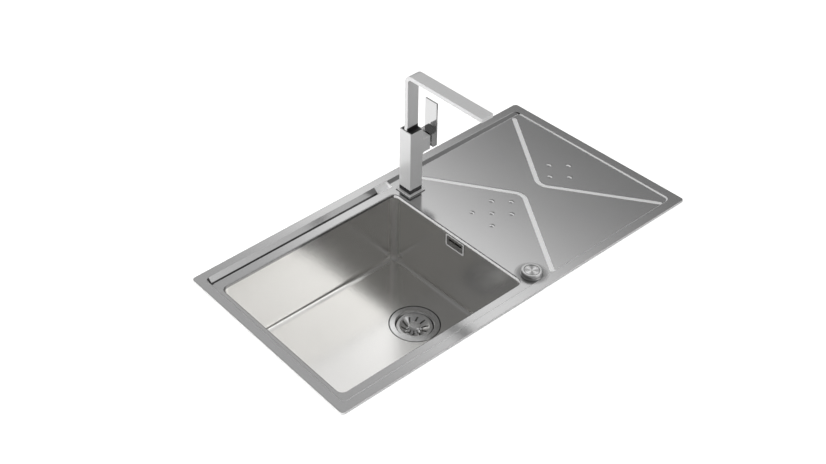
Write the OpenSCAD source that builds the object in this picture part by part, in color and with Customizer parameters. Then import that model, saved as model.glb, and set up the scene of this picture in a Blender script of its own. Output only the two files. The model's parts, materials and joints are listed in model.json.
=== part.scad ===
// Kitchen sink with drainboard, bowl on the left, swivel tap and pop-up waste.
// Origin: middle of the front seal strip, on its underside. +X right, +Y rear, +Z up.

/* [Deck] */
// Overall length of the rim
sink_l = 1000; // [960:1:1100]
// Overall width of the rim, front to rear
sink_w = 510; // [504:1:540]
// Sheet thickness
sheet_t = 1; // [0.8:0.1:1.2]
// Height of the rim's top above the seal's underside
rim_h = 5; // [4.6:0.1:6]
// Outer corner radius of the rim
rim_r = 10; // [6:0.5:16]
// Width of the flat rim
rim_w = 22; // [21.8:0.1:24]
// Rounding along the rim's outer top edge
rim_edge_r = 2; // [1.6:0.1:2.6]
// Depth of the deck below the rim
deck_drop = 3; // [2.6:0.1:3.2]
// Inner corner radius of the sunk deck
deck_r = 13; // [8:0.5:20]
// Length of the long slope behind the tap
rear_slope_w = 12; // [10:0.5:14]

/* [Bowl] */
// Inside length of the bowl
bowl_l = 500; // [480:1:504]
// Depth of the bowl below the rim
bowl_depth = 200; // [190:1:230]
// Distance from the left end to the bowl
bowl_x0 = 35; // [32:0.5:38]
// Distance from the front edge to the bowl
bowl_y0 = 43.5; // [42:0.5:46]
// Distance from the bowl to the rear edge
bowl_back = 66.5; // [64:0.5:70]
// Upright corner radius of the bowl
bowl_r = 15; // [12.5:0.5:24]
// Fillet between walls and floor
floor_r = 12; // [8:0.5:14]
// Rounding where the deck turns down into the bowl
bowl_edge_r = 2.5; // [1.5:0.1:3]
// Height of the turned-down collar round the bowl
collar_h = 8; // [6:0.5:10]

/* [Accessory channel] */
// Distance from the left end to the channel
channel_x0 = 26; // [25:0.5:30]
// Length of the channel past the bowl's right wall
channel_past_bowl = 12; // [8:0.5:18]
// Width of the ledge between bowl and channel
channel_ledge_w = 22.5; // [18:0.5:23]
// Depth of the channel below the rim
channel_depth = 14; // [10:0.5:15]
// Width of the channel's flat floor
channel_floor_w = 6; // [5:0.5:8]

/* [Drainboard] */
// Width of the two V grooves
groove_w = 11; // [9:0.5:14]
// Depth of the grooves
groove_d = 0.8; // [0.6:0.05:0.9]
// Centre line radius of the grooves' elbows
elbow_r = 30; // [20:1:36]
// Distance from the bowl to the left groove's ends
groove_past_bowl = 74; // [71:1:79]
// Distance from the right groove's ends to the right end
groove_from_end = 47.6; // [44:0.1:56]
// Elbow of the left groove, along the stretch between the two grooves' ends
left_elbow_share = 0.42; // [0.4:0.01:0.43]
// Elbow of the right groove, along the same stretch
right_elbow_share = 0.564; // [0.55:0.002:0.58]
// Diameter of the raised pips
pip_d = 12; // [9:0.5:14]
// Height of the raised pips
pip_h = 1.6; // [1:0.1:2]
// Spacing of the pips
pip_pitch = 31; // [26:0.5:36]

/* [Overflow] */
// Length of the overflow plate
overflow_l = 56; // [52:0.5:60]
// Height of the overflow plate
overflow_h = 33; // [31:0.5:36]
// Distance from the rim's top to the plate's top
overflow_drop = 13; // [12:0.5:16]
// Thickness of the overflow plate
overflow_t = 1.8; // [1.6:0.1:2.2]
// Outer radius of the overflow pipe
pipe_r = 10; // [9:0.1:10.5]

/* [Waste] */
// Distance from the waste's centre to the bowl's right wall
waste_in = 119; // [115:1:135]
// Radius of the waste flange
flange_r = 57; // [56:0.2:60]
// Radius of the hole in the bowl's floor
waste_hole_r = 46; // [45.7:0.1:46.4]
// Depth of the sunk seat under the flange
seat_drop = 2.5; // [2.2:0.1:3]
// Radius of the basket's rim
basket_r = 40.2; // [39.8:0.1:40.5]
// Number of curved slots in the basket
basket_slots = 10; // [8:1:12]
// Outer radius of the waste's outlet spigot
outlet_r = 23.9; // [22:0.1:25]

/* [Waste knob] */
// Distance from the bowl's right wall to the knob's centre
knob_past_bowl = 32.5; // [31:0.5:37]
// Knob centre, from the front edge
knob_y = 49; // [48:0.5:54]
// Radius of the knob
knob_r = 22.5; // [21:0.1:23]
// Height of the knob
knob_h = 8; // [7.6:0.1:10]

/* [Tap] */
// Distance from the bowl's right wall to the tap's centre
tap_past_bowl = 38; // [37:0.5:45]
// Distance from the tap's centre to the rear edge
tap_back = 79.5; // [77:0.5:81]
// Side of the square column
column_w = 37; // [36.8:0.1:38]
// Height of the column's top above the deck
column_top = 176; // [174:0.5:184]
// Side of the square base plate
base_w = 48; // [46.5:0.5:52]
// Thickness of the base plate
base_t = 2.5; // [2:0.1:3.5]
// Height of the dark collar
foot_h = 12; // [9:0.5:14]
// Depth of the side housing, from the column's face
housing_l = 23; // [22.5:0.1:24]
// Height of the side housing
housing_h = 38; // [37:0.1:40]
// Height of the housing's axis above the deck
lever_axis_h = 126.5; // [125:0.5:130]

/* [Spout] */
// Width of the flat spout
spout_w = 32; // [30:0.5:34]
// Thickness of the flat spout
spout_t = 10; // [9.6:0.1:12]
// Height of the spout's underside above the deck
spout_h = 317.5; // [300:0.5:340]
// Reach of the spout from the column's axis
spout_reach = 227; // [200:1:240]
// Inner radius of the spout's bend
spout_bend_r = 10; // [8:0.5:14]

/* [Lever] */
// Thickness of the lever's block
block_t = 13; // [12:0.1:14]
// Thickness of the lever's blade
blade_t = 4.3; // [4:0.1:5]
// Length of the lever, from the block's bottom to the blade's tip
lever_h = 116; // [100:1:125]

/* [Clips] */
// Places of the front and rear clips along the length
clip_shares = [0.12, 0.5, 0.88]; // [0.1:0.01:0.9]
// Thickness of the panel that the clips hold
panel_t = 38; // [28:1:40]

/* [Hidden] */
$fn = 48;

// Overrun of cuts past a face
over = 1;
// Flat gap between pieces that lie close but don't touch
gap = 0.3;
// Radial clearance of running fits
run_fit = 0.05;
// Radial clearance of bolts and pipes in their holes
bolt_fit = 0.2;

// Foam strip under the rim
seal_w = 6.4;
seal_inset = rim_edge_r - sheet_t;
lip_gap = 0.4;

// Main planes and edges in the part's own frame
left = -sink_l / 2;
right = sink_l / 2;
front = -(sheet_t + seal_inset + seal_w / 2);
rear = front + sink_w;
mid_y = (front + rear) / 2;
rim_z = rim_h;
deck_z = rim_h - deck_drop;
under_rim = rim_z - sheet_t;
under_deck = deck_z - sheet_t;
slope_y = rear - rim_w;
slope_lap = 0.5;

bowl_left = left + bowl_x0;
bowl_right = bowl_left + bowl_l;
bowl_w = sink_w - bowl_y0 - bowl_back;
bowl_front = front + bowl_y0;
bowl_rear = bowl_front + bowl_w;
bowl_cx = (bowl_left + bowl_right) / 2;
bowl_cy = (bowl_front + bowl_rear) / 2;
floor_z = rim_z - bowl_depth;
collar_z = deck_z - collar_h;

channel_left = left + channel_x0;
channel_right = bowl_right + channel_past_bowl;
channel_front = bowl_rear + channel_ledge_w;
channel_z = rim_z - channel_depth;
channel_left_r = 10;

// Grooves: the ends' distance from the rim's inner edge, and the steps of their elbows and ends
groove_end_in = 8;
elbow_steps = 12;
left_ends_x = bowl_right + groove_past_bowl;
right_ends_x = right - groove_from_end;
board_l = right_ends_x - left_ends_x;

// Pips: the two groups' places in pitches, and their centres
left_pip_shares = [[-1, 1], [1, 1], [0, 0], [2, 0], [-1, -1], [1, -1]];
right_pip_shares = [[0, 1], [1, 0], [-1, 0], [0, -1]];
left_pips_share = 0.12;
right_pips_share = 0.779;
left_pips_forward = 9;
right_pips_forward = 1.5;
pip_round_r = (pip_d * pip_d / 4 + pip_h * pip_h) / (2 * pip_h);

// Holes for the tap and the waste knob
tap_hole_r = 17.5;
knob_hole_r = 17.5;
tap = [bowl_right + tap_past_bowl, rear - tap_back];
dial = [bowl_right + knob_past_bowl, front + knob_y];

// Overflow window in the bowl's right wall
window_l = 46;
window_h = 18;
window_r = 4;
overflow_z = rim_z - overflow_drop - overflow_h / 2;

// Waste seat in the bowl's floor
waste = [bowl_right - waste_in, bowl_cy];
seat_r = flange_r + 0.8;
seat_z = floor_z - seat_drop;
seat_under = seat_z - sheet_t;

// Flat rounded rectangle about the origin
module rrect(l, w, r) {
    square([l, w - 2 * r], center = true);
    square([l - 2 * r, w], center = true);
    for (x = [-1, 1], y = [-1, 1])
        translate([x * (l / 2 - r), y * (w / 2 - r)]) circle(r);
}

// One straight side of a tub, at distance d, from -half to half
module tub_side(d, half) {
    translate([d, half, 0]) rotate([90, 0, 0]) linear_extrude(2 * half) children();
}

// Rounded rectangle whose upright half profile, drawn from the corner's centre, is the child
module tub(l, w, r, z0, z1) {
    cx = l / 2 - r;
    cy = w / 2 - r;
    for (k = [0:3])
        translate([k == 0 || k == 3 ? cx : -cx, k < 2 ? cy : -cy, 0])
            rotate(90 * k) rotate_extrude(angle = 90) children();
    for (k = [0, 2]) {
        rotate(90 * k) tub_side(cx, cy) children();
        rotate(90 * k + 90) tub_side(cy, cx) children();
    }
    translate([-cx, -cy, z0]) cube([2 * cx, 2 * cy, z1 - z0]);
}

// Upright rounded block between two heights
module block(l, w, r, z0, z1) {
    translate([0, 0, z0]) linear_extrude(z1 - z0) rrect(l, w, r);
}

// Upright cylinder and tube between two heights
module disc(r, z0, z1) {
    translate([0, 0, z0]) cylinder(r = r, h = z1 - z0);
}

module ring(r, bore, z0, z1) {
    difference() {
        disc(r, z0, z1);
        disc(bore, z0 - over, z1 + over);
    }
}

// Profile in Y and Z drawn along X between two places
module along_x(x0, x1) {
    translate([x0, 0, 0]) rotate([90, 0, 90]) linear_extrude(x1 - x0) children();
}

// Profile in X and Z drawn along Y between two places
module along_y(y0, y1) {
    translate([0, y1, 0]) rotate([90, 0, 0]) linear_extrude(y1 - y0) children();
}

// Cylinder along X, and along Y, between two places
module rod_x(r, x0, x1) {
    translate([x0, 0, 0]) rotate([0, 90, 0]) cylinder(r = r, h = x1 - x0);
}

module rod_y(r, y0, y1) {
    translate([0, y0, 0]) rotate([-90, 0, 0]) cylinder(r = r, h = y1 - y0);
}

// Half profile of the rim's rounded slab, grown inwards by cut
module rim_profile(cut, z0) {
    r = rim_r - cut;
    e = rim_edge_r - cut;
    top = rim_z - cut;
    translate([0, z0]) square([r, top - e - z0]);
    translate([0, z0]) square([r - e, top - z0]);
    translate([r - e, top - e]) circle(e);
}

// Rim with its turned-down lip
module rim_slab() {
    translate([0, mid_y, 0]) difference() {
        tub(sink_l, sink_w, rim_r, lip_gap, rim_z) rim_profile(0, lip_gap);
        tub(sink_l - 2 * sheet_t, sink_w - 2 * sheet_t, rim_r - sheet_t, lip_gap - over, under_rim)
            rim_profile(sheet_t, lip_gap - over);
    }
}

// Sunk deck: steep sides, long rear slope. grow = 0 is the inside, grow = sheet_t the skin
module recess(grow, top) {
    low = deck_z - grow;
    widen = grow * (sqrt(2) - 1);
    r0 = deck_r - deck_drop + widen;
    l0 = sink_l - 2 * rim_w - 2 * deck_drop + 2 * widen;
    w0 = sink_w - 2 * rim_w - 2 * deck_drop + 2 * widen + slope_lap;
    rise = top - low;
    intersection() {
        translate([0, mid_y + slope_lap / 2, 0]) tub(l0, w0, r0, low, top)
            polygon([[0, low], [r0, low], [r0 + rise, top], [0, top]]);
        along_x(left, right) polygon([
            [front, low], [slope_y - rear_slope_w, low],
            [slope_y + rear_slope_w, low + 2 * deck_drop], [front, low + 2 * deck_drop]]);
    }
}

// Accessory channel: upright front wall, flat floor, rear face sloping up to the rim
module channel(grow, top) {
    floor_end = channel_front + channel_floor_w;
    rise = rim_z - channel_z;
    lean = (slope_y - floor_end) / rise;
    skin = grow * sqrt(1 + lean * lean);
    low = channel_z - grow;
    x0 = channel_left - grow;
    x1 = channel_right + grow;
    y0 = channel_front - grow;
    y1 = slope_y + rear_slope_w;
    intersection() {
        along_x(x0, x1) polygon([
            [y0, low], [floor_end + skin - grow, low],
            [floor_end + skin + (top - channel_z) * lean, top], [y0, top]]);
        translate([0, 0, low]) linear_extrude(top - low) union() {
            translate([x0 + channel_left_r, y0]) square([x1 - x0 - channel_left_r, y1 - y0]);
            translate([x0, y0 + channel_left_r])
                square([channel_left_r, slope_y + grow - y0 - 2 * channel_left_r]);
            translate([x0 + channel_left_r, y0 + channel_left_r]) circle(channel_left_r);
            translate([x0 + channel_left_r, slope_y + grow - channel_left_r]) circle(channel_left_r);
        }
    }
}

// Points of an arc about a centre, from one angle to another
function arc(centre, r, from, to, steps) = [for (k = [0:steps])
    let (a = from + (to - from) * k / steps) centre + r * [cos(a), sin(a)]];

// V groove seen from above: its elbow on the middle line, its two round ends level with each other
module vee(ends_x, elbow_x, y0, y1, half) {
    lean = atan2((y1 - y0) / 2, abs(elbow_x - ends_x));
    bend = 90 - lean;
    hub = elbow_r / sin(lean);
    run = norm([elbow_x - ends_x, (y1 - y0) / 2]) - elbow_r / tan(lean);
    rear_end = elbow_r * [cos(bend), sin(bend)] + run * [-sin(bend), cos(bend)];
    front_end = [rear_end.x, -rear_end.y];
    translate([elbow_x, (y0 + y1) / 2]) rotate(elbow_x > ends_x ? 0 : 180) translate([-hub, 0])
        polygon(concat(
            arc([0, 0], elbow_r + half, -bend, bend, elbow_steps),
            arc(rear_end, half, bend, bend + 180, elbow_steps),
            arc([0, 0], elbow_r - half, bend, -bend, elbow_steps),
            arc(front_end, half, 180 - bend, 360 - bend, elbow_steps)));
}

module grooves(grow) {
    y0 = front + rim_w + groove_end_in;
    y1 = slope_y - rear_slope_w - groove_end_in;
    half = groove_w / 2 + grow;
    low = deck_z - groove_d - grow;
    high = grow > 0 ? deck_z - sheet_t / 2 : deck_z + over;
    translate([0, 0, low]) linear_extrude(high - low) {
        vee(left_ends_x, left_ends_x + left_elbow_share * board_l, y0, y1, half);
        vee(right_ends_x, left_ends_x + right_elbow_share * board_l, y0, y1, half);
    }
}

// Profile that cuts the bowl's opening, flared at the deck's edge
module opening_profile() {
    r = bowl_r;
    e = bowl_edge_r;
    translate([0, collar_z - over]) square([r, deck_z + over - collar_z + over]);
    difference() {
        translate([0, deck_z - e]) square([r + e, e + over]);
        translate([r + e, deck_z - e]) circle(e);
    }
}

// Outside of the turned-down collar, with the bend's fillet under the deck
module collar_profile() {
    r = bowl_r;
    e = bowl_edge_r;
    translate([0, collar_z]) square([r + sheet_t, deck_z - sheet_t / 2 - collar_z]);
    difference() {
        translate([0, deck_z - e]) square([r + e, e - sheet_t / 2]);
        translate([r + e, deck_z - e]) circle(e - sheet_t);
    }
}

// Half profile of a domed pip or of the hollow under it
module pip_profile(shrink, z0) {
    intersection() {
        translate([0, pip_h - pip_round_r]) circle(pip_round_r - shrink, $fn = 96);
        translate([0, z0]) square([pip_d / 2, pip_h - z0]);
    }
}

module pip_group(share, forward, pitches) {
    translate([left_ends_x + share * board_l, mid_y - forward, deck_z])
        for (s = pitches) translate(s * pip_pitch) children();
}

module pip_places() {
    pip_group(left_pips_share, left_pips_forward, left_pip_shares) children();
    pip_group(right_pips_share, right_pips_forward, right_pip_shares) children();
}

module deck() {
    color([0.70, 0.70, 0.69]) difference() {
        union() {
            rim_slab();
            recess(sheet_t, rim_z - sheet_t / 2);
            channel(sheet_t, rim_z - sheet_t / 2);
            grooves(sheet_t);
            translate([bowl_cx, bowl_cy, 0])
                tub(bowl_l, bowl_w, bowl_r, collar_z, deck_z - sheet_t / 2) collar_profile();
        }
        difference() {
            recess(0, rim_z + over);
            pip_places() rotate_extrude() pip_profile(0, -sheet_t / 2);
        }
        channel(0, rim_z + over);
        grooves(0);
        pip_places() rotate_extrude() pip_profile(sheet_t, -sheet_t - over);
        translate([bowl_cx, bowl_cy, 0])
            tub(bowl_l, bowl_w, bowl_r, collar_z - over, deck_z + over) opening_profile();
        translate(tap) disc(tap_hole_r, under_deck - over, rim_z);
        translate(dial) disc(knob_hole_r, under_deck - over, rim_z);
    }
}

// Half profile of the bowl's inside, or of its outside when grown
module bowl_profile(grow, top) {
    r = bowl_r + grow;
    e = floor_r + grow;
    low = floor_z - grow;
    translate([0, low + e]) square([r, top - low - e]);
    translate([0, low]) square([r - e, e + sheet_t]);
    intersection() {
        translate([r - e, low + e]) circle(e);
        translate([0, low]) square([r, 2 * e]);
    }
}

module bowl() {
    color([0.66, 0.65, 0.62]) difference() {
        union() {
            translate([bowl_cx, bowl_cy, 0])
                tub(bowl_l + 2 * sheet_t, bowl_w + 2 * sheet_t, bowl_r + sheet_t,
                    floor_z - sheet_t, collar_z) bowl_profile(sheet_t, collar_z);
            translate(waste) disc(seat_r + sheet_t, seat_under, floor_z);
        }
        translate([bowl_cx, bowl_cy, 0])
            tub(bowl_l, bowl_w, bowl_r, floor_z, collar_z + over) bowl_profile(0, collar_z + over);
        translate(waste) {
            disc(seat_r, seat_z, floor_z + over);
            disc(waste_hole_r, seat_under - over, floor_z);
        }
        translate([0, bowl_cy, overflow_z]) rotate([90, 0, 90])
            translate([0, 0, bowl_right - over]) linear_extrude(sheet_t + 2 * over)
            rrect(window_l, window_h, window_r);
    }
}

module edge_seal() {
    inset = sheet_t + seal_inset;
    color([0.2, 0.2, 0.2]) translate([0, mid_y, 0]) difference() {
        block(sink_l - 2 * inset, sink_w - 2 * inset, rim_r - inset, 0, under_rim);
        block(sink_l - 2 * (inset + seal_w), sink_w - 2 * (inset + seal_w), sheet_t, -over, rim_z);
    }
}

// Fixing clips round the cut-out: bracket under the rim, screw and claw
bracket_w = 24;
bracket_t = 1.5;
bracket_in = 13;
bracket_flat = 7.5;
bracket_drop = 26;
lug_l = 12.5;
lug_t = 2;
clip_screw_r = 2.5;
clip_screw_head_r = 4.5;
clip_screw_head_t = 4;
claw_t = 3;
claw_w = 18;
claw_heel = 3;
claw_end = 12.5;
clip_tail = 5;
bracket_wall = bracket_in + bracket_flat;
lug_low = under_rim - bracket_drop;
lug_high = lug_low + lug_t;
clip_axis = bracket_wall + lug_l / 2;
claw_top = -panel_t;
claw_low = claw_top - claw_t;

module clip_places() {
    for (s = clip_shares) {
        translate([left + s * sink_l, front, 0]) children();
        translate([left + s * sink_l, rear, 0]) rotate(180) children();
    }
    translate([left, mid_y, 0]) rotate(-90) children();
    translate([right, mid_y, 0]) rotate(90) children();
}

// Y runs inwards from the rim's edge
module clip_brackets() {
    color([0.72, 0.73, 0.74]) clip_places() difference() {
        along_x(-bracket_w / 2, bracket_w / 2) polygon([
            [bracket_in, under_rim], [bracket_in, under_rim - bracket_t],
            [bracket_wall - bracket_t, under_rim - bracket_t], [bracket_wall - bracket_t, lug_low],
            [bracket_wall + lug_l, lug_low], [bracket_wall + lug_l, lug_high],
            [bracket_wall, lug_high], [bracket_wall, under_rim]]);
        translate([0, clip_axis, 0]) disc(clip_screw_r + bolt_fit, lug_low - over, lug_high + over);
    }
}

module clip_claws() {
    color([0.6, 0.6, 0.58]) clip_places() difference() {
        union() {
            along_x(-claw_w / 2, claw_w / 2) polygon([
                [claw_heel, claw_top], [claw_heel, claw_low], [clip_axis + claw_end / 2, claw_low],
                [clip_axis + claw_end / 2, claw_top]]);
            translate([0, clip_axis, 0]) disc(clip_screw_r + 2 * bracket_t, claw_top, claw_top + lug_t);
        }
        translate([0, clip_axis, 0]) disc(clip_screw_r, claw_low - over, claw_top + lug_t + over);
    }
}

module clip_screws() {
    color([0.75, 0.75, 0.73]) clip_places() translate([0, clip_axis, 0]) {
        disc(clip_screw_r, claw_low - clip_tail, lug_high);
        disc(clip_screw_head_r, lug_high, lug_high + clip_screw_head_t);
    }
}

// Earth tag welded under the drainboard
tag_past_bowl = 165;
tag_y = 60;
tag_w = 14;
tag_l = 16;
tag_h = 14;
tag_hole_r = 3.2;
module earth_tag() {
    color([0.7, 0.7, 0.68]) translate([bowl_right + tag_past_bowl, front + tag_y, 0]) difference() {
        union() {
            translate([0, 0, under_deck - bracket_t]) cube([tag_l, tag_w, bracket_t]);
            translate([0, 0, under_deck - tag_h]) cube([bracket_t, tag_w, tag_h]);
        }
        translate([0, tag_w / 2, under_deck - tag_h / 2]) rod_x(tag_hole_r, -over, bracket_t + over);
    }
}

// Sound-deadening pads
pad_t = 2.5;
pad_r = 6;
bowl_pad_in = 30;
bowl_pad_side = 35;
bowl_pad_to_waste = 121;
bowl_pad_l = waste.x - bowl_pad_to_waste - bowl_left - bowl_pad_in;
bowl_pad_w = bowl_w - 2 * bowl_pad_side;
module bowl_pad() {
    color([0.25, 0.25, 0.26])
        translate([bowl_left + bowl_pad_in + bowl_pad_l / 2, bowl_cy, 0])
        block(bowl_pad_l, bowl_pad_w, pad_r, floor_z - sheet_t - pad_t, floor_z - sheet_t);
}

left_pad_past_bowl = 70;
left_pad_l = 60;
left_pad_side = 130;
right_pad_from_end = 75;
right_pad_l = 50;
right_pad_side = 135;
pads_forward = 10;
module drainer_pads() {
    top = under_deck;
    color([0.25, 0.25, 0.26]) {
        translate([bowl_right + left_pad_past_bowl, mid_y - pads_forward, 0])
            block(left_pad_l, sink_w - 2 * left_pad_side, pad_r, top - pad_t, top);
        translate([right - right_pad_from_end, mid_y - pads_forward, 0])
            block(right_pad_l, sink_w - 2 * right_pad_side, pad_r, top - pad_t, top);
    }
}

// Overflow: plate in the window, gasket, housing behind the wall, pipe down to the waste
slot_l = 44;
slot_h = 5.5;
slot_up = 6;
plate_r = 3;
peg_r = 2;
peg_in = 1.2;
gasket_t = 2;
housing_w = 60;
housing_hh = 34;
housing_d = 16;
housing_wall = 2;
housing_r = 5;
inlet_bore = 10.2;
inlet_r = 13;
pipe_wall = 1.6;
pipe_bend_r = 25;
wall_x = bowl_right + sheet_t;
plate_x = bowl_right - overflow_t;
housing_x = wall_x + gasket_t;
pipe_x = housing_x + housing_d / 2 + inlet_r / 2;
housing_low = overflow_z - housing_hh / 2;
spigot_h = 14;
spigot_low = housing_low - spigot_h;

// Upright rounded slab facing along X
module wall_slab(l, h, r, x0, x1) {
    translate([x0, bowl_cy, overflow_z]) rotate([90, 0, 90]) linear_extrude(x1 - x0) rrect(l, h, r);
}

module overflow_plate() {
    face = plate_x + overflow_t / 2;
    color([0.74, 0.74, 0.73]) {
        difference() {
            union() {
                wall_slab(overflow_l, overflow_h, plate_r, plate_x, bowl_right);
                wall_slab(window_l - gap, window_h - gap, window_r, bowl_right, wall_x + gasket_t);
            }
            // Sunk field with a shallow lip round it, and the bar slot near its top
            wall_slab(overflow_l - 2 * plate_r, overflow_h - 2 * plate_r, peg_r, plate_x - over, face);
            translate([plate_x - over, bowl_cy, overflow_z + slot_up / 2]) rotate([90, 0, 90])
                linear_extrude(overflow_t + gasket_t + 3 * over) rrect(slot_l - 2 * peg_r, slot_h, peg_r);
        }
    }
}

module overflow_gasket() {
    color([0.15, 0.15, 0.15]) difference() {
        wall_slab(housing_w - 2 * peg_in, housing_hh - 2 * peg_in, housing_r, wall_x, housing_x);
        wall_slab(window_l, window_h, window_r, wall_x - over, housing_x + over);
    }
}

module overflow_housing() {
    x1 = housing_x + housing_d;
    color([0.85, 0.85, 0.84]) difference() {
        union() {
            wall_slab(housing_w, housing_hh, housing_r, housing_x, x1);
            translate([pipe_x, bowl_cy, 0]) disc(inlet_r, spigot_low, overflow_z);
        }
        wall_slab(housing_w - 2 * housing_wall, housing_hh - 2 * housing_wall, housing_r,
            housing_x - over, x1 - housing_wall);
        translate([pipe_x, bowl_cy, 0]) disc(inlet_bore, spigot_low - over, overflow_z);
    }
}

// Waste: levels below the seat, all from the bowl's floor
flange_t = 1.5;
flange_gasket_t = 1;
throat_r = 45.5;
throat_in = 44;
throat_low_in = 41;
ledge_drop = 7;
ledge_in = 33;
ledge_t = 2;
flange_screw_pcd = 75;
flange_screw_r = 2;
flange_screw_l = 10;
body_gasket_t = 2;
body_r = 49;
body_flange_r = 54;
body_flange_t = 4;
shelf_t = 10;
cup_r = 38;
cup_in = 33;
cup_wall = 2.5;
cup_low = 46;
outlet_h = 20;
outlet_wall = 3.9;
stub_drop = 30;
stub_end = 62;
stub_r = 13;
spider_drop = 17;
spider_h = 7.5;
spider_t = 4;
boss_r = 7.5;
pin_r = 4;
flange_low = seat_z + flange_gasket_t;
flange_top = flange_low + flange_t;
ledge_z = seat_z - ledge_drop;
gasket_low = seat_under - body_gasket_t;
shelf_z = ledge_z - ledge_t;
body_low = shelf_z - shelf_t;
cup_z = seat_z - cup_low;
outlet_z = cup_z - cup_wall - outlet_h;
stub_z = seat_z - stub_drop;
spider_top = seat_z - spider_drop;

// Overflow pipe: down the bowl's side, then under the floor to the waste
module overflow_pipe_run(r) {
    bend_z = stub_z + pipe_bend_r;
    top_z = spigot_low + pipe_r;
    translate([pipe_x, 0, 0]) disc(r, bend_z, top_z);
    translate([pipe_x - pipe_bend_r, 0, bend_z]) rotate([90, 0, 0]) rotate(-90)
        rotate_extrude(angle = 90) translate([pipe_bend_r, 0]) circle(r);
    translate([0, 0, stub_z]) rod_x(r, waste.x + stub_end - pipe_r, pipe_x - pipe_bend_r);
}

module overflow_pipe() {
    color([0.9, 0.9, 0.88]) translate([0, bowl_cy, 0]) difference() {
        overflow_pipe_run(pipe_r);
        overflow_pipe_run(pipe_r - pipe_wall);
        translate([pipe_x, 0, 0]) disc(pipe_r - pipe_wall, spigot_low, spigot_low + 2 * pipe_r);
        translate([0, 0, stub_z])
            rod_x(pipe_r - pipe_wall, waste.x + stub_end - 2 * pipe_r, waste.x + stub_end);
    }
}

// Compression nuts and conical washers on the pipe's two ends
nut_r = 16;
nut_h = 12;
nut_face_t = 2.5;
washer_h = 5;
module pipe_ends() {
    translate([pipe_x, bowl_cy, spigot_low]) children();
    translate([waste.x + stub_end, bowl_cy, stub_z]) rotate([0, -90, 0]) children();
}

module overflow_nuts() {
    color([0.3, 0.3, 0.31]) pipe_ends() difference() {
        union() {
            disc(nut_r, -washer_h - nut_face_t, nut_h - washer_h - nut_face_t);
            for (a = [30:60:359])
                rotate(a) translate([nut_r, 0, 0]) disc(nut_face_t / 2, -washer_h, nut_h / 3);
        }
        disc(stub_r + bolt_fit, -washer_h, nut_h);
        disc(pipe_r + bolt_fit, -2 * washer_h, nut_h);
    }
}

module overflow_washers() {
    color([0.15, 0.15, 0.15]) pipe_ends() difference() {
        translate([0, 0, -washer_h]) cylinder(r1 = stub_r - pipe_wall, r2 = stub_r, h = washer_h);
        disc(pipe_r, -washer_h - over, over);
    }
}

module flange_gasket() {
    color([0.15, 0.15, 0.15]) translate(waste)
        ring(flange_r - flange_t, waste_hole_r + bolt_fit, seat_z, flange_low);
}

module waste_screw_places() {
    for (a = [30:120:359])
        translate([waste.x, waste.y, 0]) rotate(a) translate([flange_screw_pcd / 2, 0, 0]) children();
}

module waste_flange() {
    soft = flange_t / 2;
    color([0.80, 0.80, 0.79]) difference() {
        translate(waste) rotate_extrude() difference() {
            union() {
                polygon([
                    [throat_in, flange_low], [throat_low_in, ledge_z], [ledge_in, ledge_z],
                    [ledge_in, shelf_z], [throat_r, shelf_z],
                    [throat_r, flange_low], [flange_r, flange_low], [flange_r, flange_low + soft],
                    [flange_r - soft, flange_top], [throat_in + soft, flange_top]]);
            }
        }
        waste_screw_places() {
            disc(flange_screw_r + bolt_fit, shelf_z - over, ledge_z + over);
            translate([0, 0, ledge_z - flange_screw_r])
                cylinder(r1 = flange_screw_r, r2 = 2 * flange_screw_r + bolt_fit,
                    h = flange_screw_r + bolt_fit);
        }
    }
}

module flange_screws() {
    color([0.75, 0.75, 0.73]) waste_screw_places() {
        disc(flange_screw_r, shelf_z - flange_screw_l + ledge_t, ledge_z - flange_screw_r / 2);
        translate([0, 0, ledge_z - flange_screw_r])
            cylinder(r1 = flange_screw_r, r2 = 2 * flange_screw_r, h = flange_screw_r);
    }
}

module body_gasket() {
    color([0.15, 0.15, 0.15]) translate(waste) ring(body_flange_r - cup_wall, waste_hole_r,
        gasket_low, seat_under);
}

module waste_body() {
    color([0.88, 0.88, 0.86]) difference() {
        union() {
            translate(waste) {
                disc(body_r, body_low, gasket_low);
                disc(body_flange_r, gasket_low - body_flange_t, gasket_low);
                disc(cup_r, cup_z - cup_wall, body_low);
                disc(outlet_r, outlet_z, cup_z);
                translate([0, 0, stub_z]) rod_x(stub_r, cup_in, stub_end);
            }
        }
        translate(waste) {
            disc(waste_hole_r, shelf_z, gasket_low + over);
            difference() {
                disc(cup_in, cup_z, shelf_z + over);
                for (a = [90:120:359]) rotate(a) translate([0, -spider_t / 2, spider_top - spider_h])
                    cube([cup_in + over, spider_t, spider_h]);
                disc(boss_r, spider_top - spider_h, spider_top);
            }
            disc(pin_r + run_fit, spider_top - spider_h - over, spider_top + over);
            disc(outlet_r - outlet_wall, outlet_z - over, cup_z + over);
            translate([0, 0, stub_z]) rod_x(inlet_bore, cup_in - over, stub_end + over);
            translate([crank_x, 0, crank_z]) rod_y(crank_r + 2 * run_fit, -cup_r - over, 0);
        }
        waste_screw_places() disc(flange_screw_r, shelf_z - flange_screw_l + ledge_t - gap, shelf_z + over);
    }
}

seal_in = 0.8;
module basket_seal() {
    color([0.12, 0.12, 0.12]) translate(waste)
        ring(basket_r - seal_in, ledge_in + ledge_t, ledge_z, basket_z - gap);
}

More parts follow.
